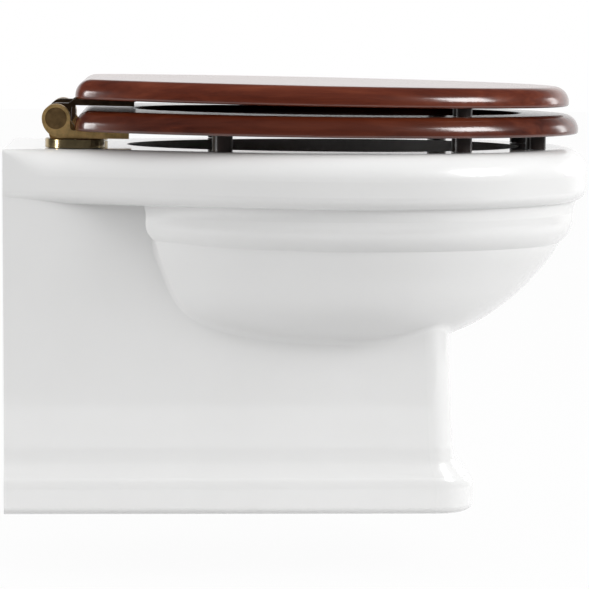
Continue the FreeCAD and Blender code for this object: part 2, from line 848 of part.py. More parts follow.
def side_sketch(body, name):
    """Empty sketch seen from the side of the hinge."""
    sketch = body.newObject("Sketcher::SketchObject", name)
    sketch.AttachmentSupport = [(plane_of(body, "XZ_Plane"), "")]
    sketch.MapMode = "FlatFace"
    return sketch


def arc(sketch, centre, radius, start, end):
    """Adds an arc; start and end are shares of a half turn."""
    circle = Part.Circle(centre, SKETCH_NORMAL, radius)
    return sketch.addGeometry(Part.ArcOfCircle(circle, start * HALF_TURN, end * HALF_TURN))


def line(sketch, start, end):
    return sketch.addGeometry(Part.LineSegment(start, end))


def drive(sketch, named):
    """Adds size constraints that follow sheet expressions."""
    for label, constraint, expression in named:
        index = sketch.addConstraint(constraint)
        sketch.renameConstraint(index, label)
        sketch.setExpression(f"Constraints.{label}", expression)


def leaf_sketch(body, name, heeled):
    """Side outline of a leaf about the pin axis, plate below."""
    length = "dims.seat_leaf_reach" if heeled else "dims.lid_leaf_reach"
    ring = size("dims.leaf_ring_radius")
    drop = size("dims.leaf_drop")
    plate = size("dims.leaf_plate_thickness")
    reach = size(length)
    cove = size("dims.leaf_cove_radius")
    bore = size(BUSH_OUTSIDE)
    top_z = plate - drop
    sketch = side_sketch(body, name)
    ring_arc = arc(sketch, Vector(), ring, 0, 1 if heeled else 1.5)
    hole = sketch.addGeometry(Part.Circle(Vector(), SKETCH_NORMAL, bore))
    wall = line(sketch, Vector(ring, 0), Vector(ring, top_z + cove))
    cove_arc = arc(sketch, Vector(ring + cove, top_z + cove), cove, 1, 1.5)
    top = line(sketch, Vector(ring + cove, top_z), Vector(reach, top_z))
    end = line(sketch, Vector(reach, top_z), Vector(reach, -drop))
    sketch.addConstraint(
        [
            Constraint("Coincident", ring_arc, 3, -1, 1),
            Constraint("Coincident", hole, 3, -1, 1),
            Constraint("Tangent", ring_arc, 1, wall, 1),
            Constraint("Vertical", wall),
            Constraint("Tangent", wall, 2, cove_arc, 1),
            Constraint("Tangent", cove_arc, 2, top, 1),
            Constraint("Horizontal", top),
            Constraint("Coincident", top, 2, end, 1),
            Constraint("Vertical", end),
        ]
    )
    named = [
        ("ring", Constraint("Radius", ring_arc, ring), "dims.leaf_ring_radius"),
        ("cove", Constraint("Radius", cove_arc, cove), "dims.leaf_cove_radius"),
        ("plate", Constraint("DistanceY", end, 2, end, 1, plate), "dims.leaf_plate_thickness"),
        ("reach", Constraint("DistanceX", -1, 1, end, 1, reach), length),
        ("bore", Constraint("Radius", hole, bore), BUSH_OUTSIDE),
    ]
    if heeled:
        named += round_heel(sketch, ring_arc, end, drop, reach)
    else:
        named += sloped_heel(sketch, ring_arc, end, drop, reach)
    drive(sketch, named)
    return sketch


def round_heel(sketch, ring_arc, end, drop, reach):
    """Closes a leaf with a large arc from the ring down to the plate's underside."""
    heel = drop - size("dims.leaf_ring_radius")
    bottom = line(sketch, Vector(reach, -drop), Vector(heel, -drop))
    heel_arc = arc(sketch, Vector(heel, 0), drop, 1, 1.5)
    sketch.addConstraint(
        [
            Constraint("Coincident", end, 2, bottom, 1),
            Constraint("Horizontal", bottom),
            Constraint("PointOnObject", heel_arc, 3, -1),
            Constraint("Tangent", bottom, 2, heel_arc, 2),
            Constraint("Tangent", heel_arc, 1, ring_arc, 2),
        ]
    )
    return [("drop", Constraint("Radius", heel_arc, drop), "dims.leaf_drop")]


def sloped_heel(sketch, ring_arc, end, drop, reach):
    """Closes a leaf with a flat from under the ring and a slope to the plate's outer face."""
    ring = size("dims.leaf_ring_radius")
    flat_end = size("dims.lid_leaf_flat")
    slope_end = flat_end + size("dims.lid_leaf_slope")
    bottom = line(sketch, Vector(reach, -drop), Vector(slope_end, -drop))
    slope = line(sketch, Vector(slope_end, -drop), Vector(flat_end, -ring))
    flat = line(sketch, Vector(flat_end, -ring), Vector(0, -ring))
    sketch.addConstraint(
        [
            Constraint("Coincident", end, 2, bottom, 1),
            Constraint("Horizontal", bottom),
            Constraint("Coincident", bottom, 2, slope, 1),
            Constraint("Coincident", slope, 2, flat, 1),
            Constraint("Horizontal", flat),
            Constraint("Tangent", flat, 2, ring_arc, 2),
        ]
    )
    return [
        ("drop", Constraint("DistanceY", end, 2, -1, 1, drop), "dims.leaf_drop"),
        ("flat", Constraint("DistanceX", -1, 1, flat, 1, flat_end), "dims.lid_leaf_flat"),
        ("slope", Constraint("DistanceX", slope, 2, slope, 1, slope_end - flat_end), "dims.lid_leaf_slope"),
    ]


def symmetric_pad(body, sketch, name, length):
    pad = body.newObject("PartDesign::Pad", name)
    pad.Profile = sketch
    pad.Midplane = True
    return bind(pad, Length=length)


def leaf_body(label, y, turn, heeled):
    body = doc.addObject("PartDesign::Body", f"{label}_plate")
    symmetric_pad(body, leaf_sketch(body, f"{label}_outline", heeled), f"{label}_pad", "dims.leaf_width")
    place(body, x="dims.hinge_axis_x", y=y, z=AXIS_Z, turn=turn)
    return body


def leaf_screw(tag, x, y, plate_face, upright):
    """Countersunk wood screw through a leaf plate, head flush with the plate's outer face."""
    sign = "" if upright else "-1 * "
    turn = UPRIGHT if upright else HALF_TURN_ABOUT_X
    head = cone(f"{tag}_head", "dims.leaf_screw_head_radius", "dims.screw_radius",
                "dims.leaf_screw_head_height", x=x, y=y, z=plate_face, turn=turn)
    shank_z = f"({plate_face} + {sign}dims.leaf_screw_head_height)"
    length = "dims.leaf_plate_thickness - dims.leaf_screw_head_height + dims.screw_depth"
    shank = cylinder(f"{tag}_shank", "dims.screw_radius", length, x=x, y=y, z=shank_z, turn=turn)
    return fuse(f"{tag}_screw", head, shank)


def screw_x(index):
    return f"(dims.hinge_axis_x + dims.leaf_screw_first + {index} * dims.leaf_screw_pitch)"


def hinge_y(sign, offset="0"):
    return f"{sign} * (dims.hinge_spacing / 2 + {offset})"


SCREWS_PER_LEAF = 2
seat_screws = []
lid_screws = []
seat_bushes = []
lid_bushes = []
caps = []


def bush(tag, y_low, length):
    """Plain bearing sleeve on the pin, from y_low towards +Y."""
    at = {"x": "dims.hinge_axis_x", "y": y_low, "z": AXIS_Z, "turn": TURN_TO_Y}
    outside = cylinder(f"{tag}_sleeve", BUSH_OUTSIDE, length, **at)
    return cut(f"{tag}_bush", outside, cylinder(f"{tag}_bore", BORE, length, **at))


for side, sign in SIDES.items():
    # seat leaf, outermost, with a cap let into its outer face
    seat_y = hinge_y(sign, LEAF_CENTRE)
    outer_y = hinge_y(sign, f"{LEAF_CENTRE} + dims.leaf_width / 2")
    plate = leaf_body(f"seat_leaf_{side}", seat_y, UPRIGHT, True)
    recess_low = f"({outer_y} - {1 if sign > 0 else 0} * dims.cap_recess)"
    pin_line = {"x": "dims.hinge_axis_x", "z": AXIS_Z, "turn": TURN_TO_Y}
    recess = cylinder(f"seat_leaf_{side}_recess", "dims.cap_radius", "dims.cap_recess",
                      y=recess_low, **pin_line)
    cap_low = f"({outer_y} - {1 if sign > 0 else 0} * dims.cap_recess"
    cap_low += f" + {0 if sign > 0 else 1} * (dims.cap_recess - dims.cap_thickness))"
    caps.append(cylinder(f"cap_{side}", "dims.cap_radius", "dims.cap_thickness", y=cap_low, **pin_line))
    tools = [recess]
    for index in range(SCREWS_PER_LEAF):
        tag = f"seat_leaf_{side}_{index}"
        seat_screws.append(leaf_screw(tag, screw_x(index), seat_y, PLATE_BOTTOM, True))
        tools.append(leaf_screw(f"{tag}_hole", screw_x(index), seat_y, PLATE_BOTTOM, True))
    node(cut(f"seat_leaf_{side}_cut", plate, fuse(f"seat_leaf_{side}_tools", *tools)), f"seat_leaf_{side}")
    bush_length = "(dims.leaf_width - dims.cap_recess)"
    inner_y = f"({seat_y} - {sign} * dims.leaf_width / 2)"
    bush_low = inner_y if sign > 0 else f"({inner_y} - {bush_length})"
    seat_bushes.append(bush(f"seat_{side}", bush_low, bush_length))

    # lid leaf, turned over, inboard of the post
    lid_y = hinge_y(sign, f"-1 * {LEAF_CENTRE}")
    plate = leaf_body(f"lid_leaf_{side}", lid_y, HALF_TURN_ABOUT_X, False)
    tools = []
    for index in range(SCREWS_PER_LEAF):
        tag = f"lid_leaf_{side}_{index}"
        face = f"({LID_BOTTOM} - dims.leaf_plate_thickness)"
        lid_screws.append(leaf_screw(tag, screw_x(index), lid_y, face, True))
        tools.append(leaf_screw(f"{tag}_hole", screw_x(index), lid_y, face, True))
    node(cut(f"lid_leaf_{side}_cut", plate, fuse(f"lid_leaf_{side}_tools", *tools)), f"lid_leaf_{side}")
    lid_bushes.append(bush(f"lid_{side}", f"({lid_y} - dims.leaf_width / 2)", "dims.leaf_width"))

node(group("seat_leaf_screws", seat_screws), "seat_leaf_screws")
node(group("lid_leaf_screws", lid_screws), "lid_leaf_screws")
node(group("seat_leaf_bushes", seat_bushes), "seat_leaf_bushes")
node(group("lid_leaf_bushes", lid_bushes), "lid_leaf_bushes")
node(group("pin_caps", caps), "pin_caps")


# Hinge bases: rosette, post, pin and the stud that clamps them to the pan
def post_sketch(body, name):
    """Side outline of a post: barrel about the pin axis, foot on the rosette."""
    barrel = size("dims.post_barrel_radius")
    drop = size("dims.leaf_drop + dims.plate_gap")
    heel = size("dims.post_heel")
    toe = size("dims.post_toe")
    toe_height = size("dims.post_toe_height")
    bore = size(BORE)
    sketch = side_sketch(body, name)
    barrel_arc = arc(sketch, Vector(), barrel, 0, 1)
    corners = [
        Vector(-barrel, 0),
        Vector(-heel, -drop),
        Vector(toe, -drop),
        Vector(toe, toe_height - drop),
        Vector(barrel, 0),
    ]
    lines = [line(sketch, a, b) for a, b in zip(corners, corners[1:])]
    hole = sketch.addGeometry(Part.Circle(Vector(), SKETCH_NORMAL, bore))
    sketch.addConstraint(
        [
            Constraint("Coincident", barrel_arc, 3, -1, 1),
            Constraint("Coincident", hole, 3, -1, 1),
            Constraint("PointOnObject", barrel_arc, 1, -1),
            Constraint("PointOnObject", barrel_arc, 2, -1),
            Constraint("Coincident", barrel_arc, 2, lines[0], 1),
            Constraint("Coincident", lines[0], 2, lines[1], 1),
            Constraint("Coincident", lines[1], 2, lines[2], 1),
            Constraint("Coincident", lines[2], 2, lines[3], 1),
            Constraint("Coincident", lines[3], 2, barrel_arc, 1),
            Constraint("Horizontal", lines[1]),
            Constraint("Vertical", lines[2]),
        ]
    )
    drive(
        sketch,
        [
            ("barrel", Constraint("Radius", barrel_arc, barrel), "dims.post_barrel_radius"),
            ("foot", Constraint("DistanceY", lines[1], 1, -1, 1, drop), "dims.leaf_drop + dims.plate_gap"),
            ("heel", Constraint("DistanceX", lines[1], 1, -1, 1, heel), "dims.post_heel"),
            ("toe", Constraint("DistanceX", -1, 1, lines[1], 2, toe), "dims.post_toe"),
            (
                "toe_height",
                Constraint("DistanceY", lines[2], 1, lines[2], 2, toe_height),
                "dims.post_toe_height",
            ),
            ("bore", Constraint("Radius", hole, bore), BORE),
        ],
    )
    return sketch


gaskets = []
studs = []
hole_bushes = []
washers = []
wing_nuts = []
pins = []
grubs = []
STUD_TOP = f"({ROSETTE_TOP} + dims.hinge_stud_in_post)"
NUT_TOP = f"({PLATFORM_UNDERSIDE} - dims.hinge_washer_thickness)"
NUT_LOW = f"({NUT_TOP} - dims.wing_nut_height)"
STUD_LOW = f"({NUT_LOW} - dims.hinge_stud_below_nut)"
PIN_LENGTH = "(dims.post_width + 2 * dims.leaf_gap + 2 * dims.leaf_width - dims.cap_recess)"


def ring_piece(tag, outside, bore, height, turn=UPRIGHT, **at):
    body = cylinder(f"{tag}_disc", outside, height, turn=turn, **at)
    return cut(f"{tag}_ring", body, cylinder(f"{tag}_bore", bore, height, turn=turn, **at))


for side, sign in SIDES.items():
    at = {"x": "dims.hinge_hole_x", "y": hinge_y(sign)}
    gaskets.append(ring_piece(f"gasket_{side}", "(dims.rosette_radius - dims.gasket_inset)",
                              "dims.hinge_stud_radius", "dims.gasket_thickness", z="dims.rim_height", **at))
    rosette_low = "(dims.rim_height + dims.gasket_thickness)"
    disc = cylinder(f"rosette_{side}_disc", "dims.rosette_radius",
                    "(dims.rosette_height - dims.rosette_edge)", z=rosette_low, **at)
    edge = cone(f"rosette_{side}_edge", "dims.rosette_radius", "(dims.rosette_radius - dims.rosette_edge)",
                "dims.rosette_edge", z=f"({ROSETTE_TOP} - dims.rosette_edge)", **at)
    rosette_hole = cylinder(f"rosette_{side}_hole", "dims.hinge_stud_radius", "dims.rosette_height",
                            z=rosette_low, **at)
    rosette = fuse(f"rosette_{side}_body", disc, edge)
    node(cut(f"hinge_rosette_{side}_cut", rosette, rosette_hole), f"hinge_rosette_{side}")

    post = doc.addObject("PartDesign::Body", f"hinge_post_{side}_body")
    symmetric_pad(post, post_sketch(post, f"hinge_post_{side}_outline"), f"hinge_post_{side}_pad",
                  "dims.post_width")
    place(post, x="dims.hinge_axis_x", y=hinge_y(sign), z=AXIS_Z)
    stud_hole = cylinder(f"hinge_post_{side}_stud_hole", "dims.hinge_stud_radius",
                         "dims.hinge_stud_in_post",
                         z=ROSETTE_TOP, **at)
    grub_at = {"x": f"(dims.hinge_axis_x - {BORE} - dims.grub_length)", "y": hinge_y(sign), "z": AXIS_Z}
    grub_hole = cylinder(f"hinge_post_{side}_grub_hole", "dims.grub_radius",
                         "(dims.post_barrel_radius + dims.grub_length)", turn=TURN_TO_X,
                         x="(dims.hinge_axis_x - dims.post_barrel_radius - dims.grub_length)",
                         y=hinge_y(sign), z=AXIS_Z)
    drilled = fuse(f"hinge_post_{side}_holes", stud_hole, grub_hole)
    node(cut(f"hinge_post_{side}_cut", post, drilled), f"hinge_post_{side}")
    grubs.append(cylinder(f"grub_{side}", "dims.grub_radius", "dims.grub_length", turn=TURN_TO_X,
                          **grub_at))

    pin_low = f"({sign} * dims.hinge_spacing / 2 - dims.post_width / 2 - dims.leaf_gap"
    pin_low += f" - dims.leaf_width + {1 if sign < 0 else 0} * dims.cap_recess)"
    pins.append(cylinder(f"pin_{side}", "dims.pin_radius", PIN_LENGTH, turn=TURN_TO_Y,
                         x="dims.hinge_axis_x", y=pin_low, z=AXIS_Z))

    studs.append(cylinder(f"stud_{side}", "dims.hinge_stud_radius", f"{STUD_TOP} - {STUD_LOW}",
                          z=STUD_LOW, **at))
    hole_bushes.append(ring_piece(f"hole_bush_{side}", "dims.hinge_hole_radius", "dims.hinge_bush_bore",
                                  "dims.platform_thickness", z=PLATFORM_UNDERSIDE, **at))
    washers.append(ring_piece(f"washer_{side}", "dims.hinge_washer_radius", "dims.hinge_stud_radius",
                              "dims.hinge_washer_thickness", z=NUT_TOP, **at))
    nut_body = cylinder(f"wing_nut_{side}_hub", "dims.wing_nut_radius", "dims.wing_nut_height",
                        z=NUT_LOW, **at)
    wing_x = "(dims.hinge_hole_x - dims.wing_span / 2)"
    wing_y = f"({hinge_y(sign)} - dims.wing_thickness / 2)"
    wings = box(f"wing_nut_{side}_wings", "dims.wing_span", "dims.wing_thickness",
                "dims.wing_nut_height * 0.8", x=wing_x, y=wing_y, z=NUT_LOW)
    nut_hole = cylinder(f"wing_nut_{side}_hole", "dims.hinge_stud_radius", "dims.wing_nut_height",
                        z=NUT_LOW, **at)
    nut_solid = fuse(f"wing_nut_{side}_body", nut_body, wings)
    wing_nuts.append(cut(f"wing_nut_{side}_cut", nut_solid, nut_hole))

node(group("rosette_gaskets", gaskets), "rosette_gaskets")
node(group("hinge_pins", pins), "hinge_pins")
node(group("hinge_grub_screws", grubs), "hinge_grub_screws")
node(group("hinge_studs", studs), "hinge_studs")
node(group("hinge_hole_bushes", hole_bushes), "hinge_hole_bushes")
node(group("hinge_washers", washers), "hinge_washers")
node(group("hinge_wing_nuts", wing_nuts), "hinge_wing_nuts")

# Wall fixings behind the back wall, and the flush inlet seal
sleeves = []
fixing_washers = []
fixing_nuts = []
FLANGE_X = "(dims.back_wall + dims.sleeve_flange_thickness)"
NUT_X = f"({FLANGE_X} + dims.fixing_washer_thickness)"
for side, sign in SIDES.items():
    y = f"{sign} * dims.bolt_spacing / 2"
    barrel = cylinder(f"sleeve_{side}_barrel", "dims.bolt_hole_radius", "dims.back_wall",
                      turn=TURN_TO_X, y=y)
    flange = cylinder(f"sleeve_{side}_flange", "dims.sleeve_flange_radius", "dims.sleeve_flange_thickness",
                      turn=TURN_TO_X, x="dims.back_wall", y=y)
    sleeve_bore = cylinder(f"sleeve_{side}_bore", "dims.stud_clear_radius", FLANGE_X, turn=TURN_TO_X, y=y)
    sleeves.append(cut(f"sleeve_{side}_cut", fuse(f"sleeve_{side}_body", barrel, flange), sleeve_bore))
    fixing_washers.append(ring_piece(f"fixing_washer_{side}", "dims.fixing_washer_radius",
                                     "dims.stud_clear_radius", "dims.fixing_washer_thickness",
                                     turn=TURN_TO_X, x=FLANGE_X, y=y))
    nut = hexagon(f"fixing_nut_{side}_hex", "dims.fixing_nut_radius", "dims.fixing_nut_height",
                  turn=TURN_TO_X, x=NUT_X, y=y)
    nut_bore = cylinder(f"fixing_nut_{side}_bore", "dims.stud_clear_radius", "dims.fixing_nut_height",
                        turn=TURN_TO_X, x=NUT_X, y=y)
    fixing_nuts.append(cut(f"fixing_nut_{side}_cut", nut, nut_bore))
node(group("wall_fixing_sleeves", sleeves), "wall_fixing_sleeves")
node(group("wall_fixing_washers", fixing_washers), "wall_fixing_washers")
node(group("wall_fixing_nuts", fixing_nuts), "wall_fixing_nuts")
INLET_Z = "(dims.inlet_above_outlet - dims.outlet_below_bolts)"
node(ring_piece("inlet_seal", "dims.inlet_bore_radius", "(dims.inlet_bore_radius - dims.inlet_seal_wall)",
                "dims.inlet_seal_length", turn=TURN_TO_X, z=INLET_Z), "flush_inlet_seal")

# The closed seat and lid lean a little forward about the hinge pins
doc.recompute()
PIN_AXIS = Vector(size("dims.hinge_axis_x"), 0, size(AXIS_Z))
for item in nodes:
    if item.Label.startswith("lid_"):
        item.Placement = Placement(Vector(), Rotation(Vector(0, 1, 0), size("dims.lid_tilt")), PIN_AXIS)
    elif item.Label.startswith("seat_") or item.Label == "pin_caps":
        item.Placement = Placement(Vector(), Rotation(Vector(0, 1, 0), size("dims.seat_tilt")), PIN_AXIS)

# Build, check and write every node
doc.recompute()
for item in doc.Objects:
    if "Invalid" in item.State or "Error" in item.State:
        raise RuntimeError(f"{item.Label} failed: {item.State}")
os.makedirs("parts", exist_ok=True)
for item in nodes:
    if item.Shape.isNull() or not item.Shape.isValid():
        raise RuntimeError(f"{item.Label} has no valid shape")
    if not item.Shape.Solids:
        raise RuntimeError(f"{item.Label} has no solid")
for item in nodes:
    item.Shape.exportStep(f"parts/{item.Label}.step")
    print(item.Label, len(item.Shape.Solids), round(item.Shape.Volume))
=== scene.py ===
import json
import math

import bpy
from mathutils import Matrix, Vector


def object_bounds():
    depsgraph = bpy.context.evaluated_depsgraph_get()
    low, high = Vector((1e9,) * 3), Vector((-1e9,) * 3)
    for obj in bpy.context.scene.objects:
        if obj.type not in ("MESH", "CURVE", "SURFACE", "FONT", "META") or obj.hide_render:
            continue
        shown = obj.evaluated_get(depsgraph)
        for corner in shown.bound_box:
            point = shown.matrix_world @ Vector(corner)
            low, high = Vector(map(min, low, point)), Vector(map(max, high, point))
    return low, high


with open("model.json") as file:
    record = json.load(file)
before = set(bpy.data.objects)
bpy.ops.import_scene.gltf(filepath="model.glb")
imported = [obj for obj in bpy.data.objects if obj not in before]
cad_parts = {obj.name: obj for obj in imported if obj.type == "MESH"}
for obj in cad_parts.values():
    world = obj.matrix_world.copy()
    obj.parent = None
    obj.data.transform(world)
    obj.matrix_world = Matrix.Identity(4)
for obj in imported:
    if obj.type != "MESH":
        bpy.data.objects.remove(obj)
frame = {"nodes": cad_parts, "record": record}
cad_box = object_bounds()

nodes = frame["nodes"]
scene = bpy.context.scene
scene.view_settings.view_transform = "Standard"


# Node building; sizes are in metres and colours are linear
UNSTRETCHED = (1.0, 1.0, 1.0)
UNSHIFTED = (0.0, 0.0, 0.0)


def feed(node, values):
    """Sets a node's inputs, by name or number, each to an output socket or a plain value."""
    for key, value in values.items():
        if isinstance(value, bpy.types.NodeSocket):
            node.id_data.links.new(value, node.inputs[key])
        else:
            node.inputs[key].default_value = value


def add(tree, kind, values=None, **settings):
    """A new shader node, with its properties from settings and its inputs from values."""
    node = tree.nodes.new(kind)
    for key, value in settings.items():
        setattr(node, key, value)
    feed(node, values or {})
    return node


def opaque(colour):
    return (*colour, 1.0)


def toned(colour, tone):
    return tuple(tone * channel for channel in colour)


def noise(tree, scale, detail, roughness=0.5, distortion=0.0, stretch=UNSTRETCHED, shift=UNSHIFTED):
    """Noise over the part's own coordinates, stretched along the axes and shifted."""
    coords = add(tree, "ShaderNodeTexCoord")
    mapping = add(tree, "ShaderNodeMapping", {
        "Vector": coords.outputs["Object"],
        "Location": shift,
        "Scale": stretch,
    })
    texture = add(tree, "ShaderNodeTexNoise", {
        "Vector": mapping.outputs["Vector"],
        "Scale": scale,
        "Detail": detail,
        "Roughness": roughness,
        "Distortion": distortion,
    })
    return texture.outputs["Fac"]


def ramp(tree, factor, stops):
    """Colour that follows a 0 to 1 factor; stops are (position, colour)."""
    node = add(tree, "ShaderNodeValToRGB", {"Fac": factor})
    elements = node.color_ramp.elements
    while len(elements) < len(stops):
        elements.new(0.5)
    for element, (position, colour) in zip(elements, stops):
        element.position = position
        element.color = opaque(colour)
    return node.outputs["Color"]


def rescale(tree, value, ends, results, curve="LINEAR"):
    """Maps a value that runs between the two ends to run between the two results."""
    node = add(tree, "ShaderNodeMapRange", interpolation_type=curve)
    feed(node, {"Value": value, "From Min": ends[0], "From Max": ends[1]})
    feed(node, {"To Min": results[0], "To Max": results[1]})
    return node.outputs["Result"]


def bump(tree, height, strength, distance):
    """Surface normal of a fine relief."""
    node = add(tree, "ShaderNodeBump", {"Height": height, "Strength": strength, "Distance": distance})
    return node.outputs["Normal"]


def calculate(tree, operation, first, second):
    node = add(tree, "ShaderNodeMath", operation=operation)
    feed(node, {0: first, 1: second})
    return node.outputs[0]


def mix(tree, data_type, factor, first, second):
    """The first value at factor 0 and the second at factor 1."""
    node = add(tree, "ShaderNodeMix", data_type=data_type)
    feed(node, {"Factor": factor, "A": first, "B": second})
    return node.outputs["Result"]


def ray_is(tree, *kinds):
    """1 for rays of the named kinds, and 0 for all others."""
    path = add(tree, "ShaderNodeLightPath")
    result = path.outputs[kinds[0]]
    for kind in kinds[1:]:
        result = calculate(tree, "MAXIMUM", result, path.outputs[kind])
    return result


# Materials
UNIT = (0.0, 1.0)
BLACK = (0.0, 0.0, 0.0)
WHITE = (1.0, 1.0, 1.0)
FINE_RELIEF = 0.0003
CHINA_LOW = (0.845, 0.845, 0.84)
CHINA_HIGH = (0.87, 0.87, 0.866)
GRAIN_STOPS = [
    (0.30, (0.058, 0.0080, 0.0026)),
    (0.50, (0.098, 0.0160, 0.0054)),
    (0.68, (0.150, 0.0300, 0.0110)),
]
GRAIN_STRETCH = (3.0, 42.0, 60.0)
FIGURE_COLOUR = (0.165, 0.035, 0.013)
FIGURE_STRETCH = (1.0, 2.2, 3.0)
FIGURE_MOST = (0.55, 0.55, 0.55)
WOOD_ROUGHNESS = (0.30, 0.46)
BRASS = (0.86, 0.58, 0.25)
SCREW_BRASS = (0.62, 0.46, 0.21)
CAP_BRASS = (0.30, 0.19, 0.086)
# Much darker brass for the lid leaves: painted shade, for the shade they sit in under the lid
PAINTED_SHADE_BRASS = (0.13, 0.085, 0.05)
# Rosette brass, darker than the rest: painted shade, for the dark reflections along the rosettes' sides
ROSETTE_PAINTED_SHADE_BRASS = (0.48, 0.37, 0.20)
PATINA_TONE = 0.5
STEEL = (0.58, 0.58, 0.57)
NYLON = (0.80, 0.80, 0.78)
BUFFER_BROWN = (0.022, 0.013, 0.011)
SEAL_BLACK = (0.018, 0.018, 0.018)
PLAIN_TONE = 0.85


def new_material(name):
    material = bpy.data.materials.new(name)
    material.use_nodes = True
    tree = material.node_tree
    return material, tree, tree.nodes["Principled BSDF"]


def glazed_china():
    """White glaze with a faint change of tone and a faint ripple."""
    material, tree, shader = new_material("glazed_china")
    tone = noise(tree, scale=9.0, detail=3.0)
    ripple = noise(tree, scale=26.0, detail=2.0)
    feed(shader, {
        "Base Color": ramp(tree, tone, [(0.3, CHINA_LOW), (0.7, CHINA_HIGH)]),
        "Roughness": 0.32,
        "Coat Weight": 1.0,
        "Coat Roughness": 0.035,
        "Coat IOR": 1.5,
        "Normal": bump(tree, ripple, strength=0.02, distance=0.001),
    })
    return material


def lacquered_wood(name, shift, tone):
    """Dark red wood under clear lacquer, with long fine grain along X and a broad lighter figure."""
    material, tree, shader = new_material(name)
    grain = noise(
        tree, scale=1.6, detail=8.0, roughness=0.62, distortion=0.6, stretch=GRAIN_STRETCH, shift=shift
    )
    figure = noise(tree, scale=9.0, detail=3.0, stretch=FIGURE_STRETCH)
    grain_colour = ramp(tree, grain, [(position, toned(colour, tone)) for position, colour in GRAIN_STOPS])
    figure_share = ramp(tree, figure, [(0.42, BLACK), (0.70, FIGURE_MOST)])
    feed(shader, {
        "Base Color": mix(tree, "RGBA", figure_share, grain_colour, opaque(toned(FIGURE_COLOUR, tone))),
        "Roughness": rescale(tree, grain, UNIT, WOOD_ROUGHNESS),
        "Specular IOR Level": 0.12,
        "Coat Weight": 1.0,
        "Coat Roughness": 0.17,
        "Coat IOR": 1.6,
        "Normal": bump(tree, grain, strength=0.02, distance=FINE_RELIEF),
    })
    return material


def antique_brass(name, bright, smooth, rough):
    """Brass with darker, rougher patina in patches."""
    material, tree, shader = new_material(name)
    patina = noise(tree, scale=130.0, detail=5.0)
    feed(shader, {
        "Base Color": ramp(tree, patina, [(0.25, toned(bright, PATINA_TONE)), (0.65, bright)]),
        "Roughness": rescale(tree, patina, UNIT, (rough, smooth)),
        "Metallic": 1.0,
        "Normal": bump(tree, patina, strength=0.04, distance=FINE_RELIEF),
    })
    return material


def plain(name, colour, roughness, grain_scale, grain_depth=0.05, metallic=0.0):
    """One colour with a fine surface texture."""
    material, tree, shader = new_material(name)
    grain = noise(tree, scale=grain_scale, detail=4.0)
    feed(shader, {
        "Base Color": ramp(tree, grain, [(0.3, toned(colour, PLAIN_TONE)), (0.7, colour)]),
        "Roughness": roughness,
        "Metallic": metallic,
        "Normal": bump(tree, grain, strength=grain_depth, distance=FINE_RELIEF),
    })
    return material


slot_materials = {
    "china": glazed_china(),
    "seat_wood": lacquered_wood("seat_mahogany", shift=UNSHIFTED, tone=0.8),
    "lid_wood": lacquered_wood("lid_mahogany", shift=(1.7, 3.1, 0.4), tone=1.15),
    "brass": antique_brass("antique_brass", BRASS, smooth=0.40, rough=0.52),
    "brass_screws": antique_brass("screw_brass", SCREW_BRASS, smooth=0.25, rough=0.40),
    "steel": plain("zinc_steel", STEEL, roughness=0.32, grain_scale=300.0, metallic=1.0),
    "nylon": plain("white_nylon", NYLON, roughness=0.45, grain_scale=200.0),
    "buffer": plain("dark_buffer", BUFFER_BROWN, roughness=0.30, grain_scale=250.0),
    "seal": plain("black_seal", SEAL_BLACK, roughness=0.6, grain_scale=250.0, grain_depth=0.1),
}
# The rosettes are smoother brass; their darker colour is painted shade, for the dark reflections along
# their sides
rosette_painted_shade_material = antique_brass("rosette_brass_painted_shade", ROSETTE_PAINTED_SHADE_BRASS, smooth=0.12, rough=0.24)
# The lid leaves get the much darker brass: painted shade, for the shade under the lid
painted_shade_material = antique_brass("lid_leaf_painted_shade", PAINTED_SHADE_BRASS, smooth=0.30, rough=0.45)
own_materials = {
    "pin_caps": antique_brass("cap_brass", CAP_BRASS, smooth=0.44, rough=0.54),
    "lid_leaf_right": painted_shade_material,
    "lid_leaf_left": painted_shade_material,
    "hinge_rosette_right": rosette_painted_shade_material,
    "hinge_rosette_left": rosette_painted_shade_material,
}

for subpart in frame["record"]["subparts"]:
    slot_material = slot_materials[subpart["material_slot"]]
    mesh = nodes[subpart["node"]].data
    mesh.materials.clear()
    mesh.materials.append(own_materials.get(subpart["node"], slot_material))

# Small eased edges on the hinges and buffers
EDGE_SEGMENTS = 2
EDGE_ANGLE = math.radians(35)
HINGE_EDGES = {"seat_leaf": 0.0006, "lid_leaf": 0.0006, "hinge_post": 0.0004, "hinge_rosette": 0.0006}
BUFFER_EDGE = 0.0010


def ease_edges(name, width):
    bevel = nodes[name].modifiers.new("eased_edges", "BEVEL")
    bevel.width = width
    bevel.segments = EDGE_SEGMENTS
    bevel.limit_method = "ANGLE"
    bevel.angle_limit = EDGE_ANGLE


for piece, edge in HINGE_EDGES.items():
    ease_edges(piece + "_right", edge)
    ease_edges(piece + "_left", edge)
for piece in ("seat_buffers", "lid_buffers"):
    ease_edges(piece, BUFFER_EDGE)

# About the middle of the part: the lights point there, and the floor is centred on its X
MIDDLE = (0.28, 0.0, -0.05)

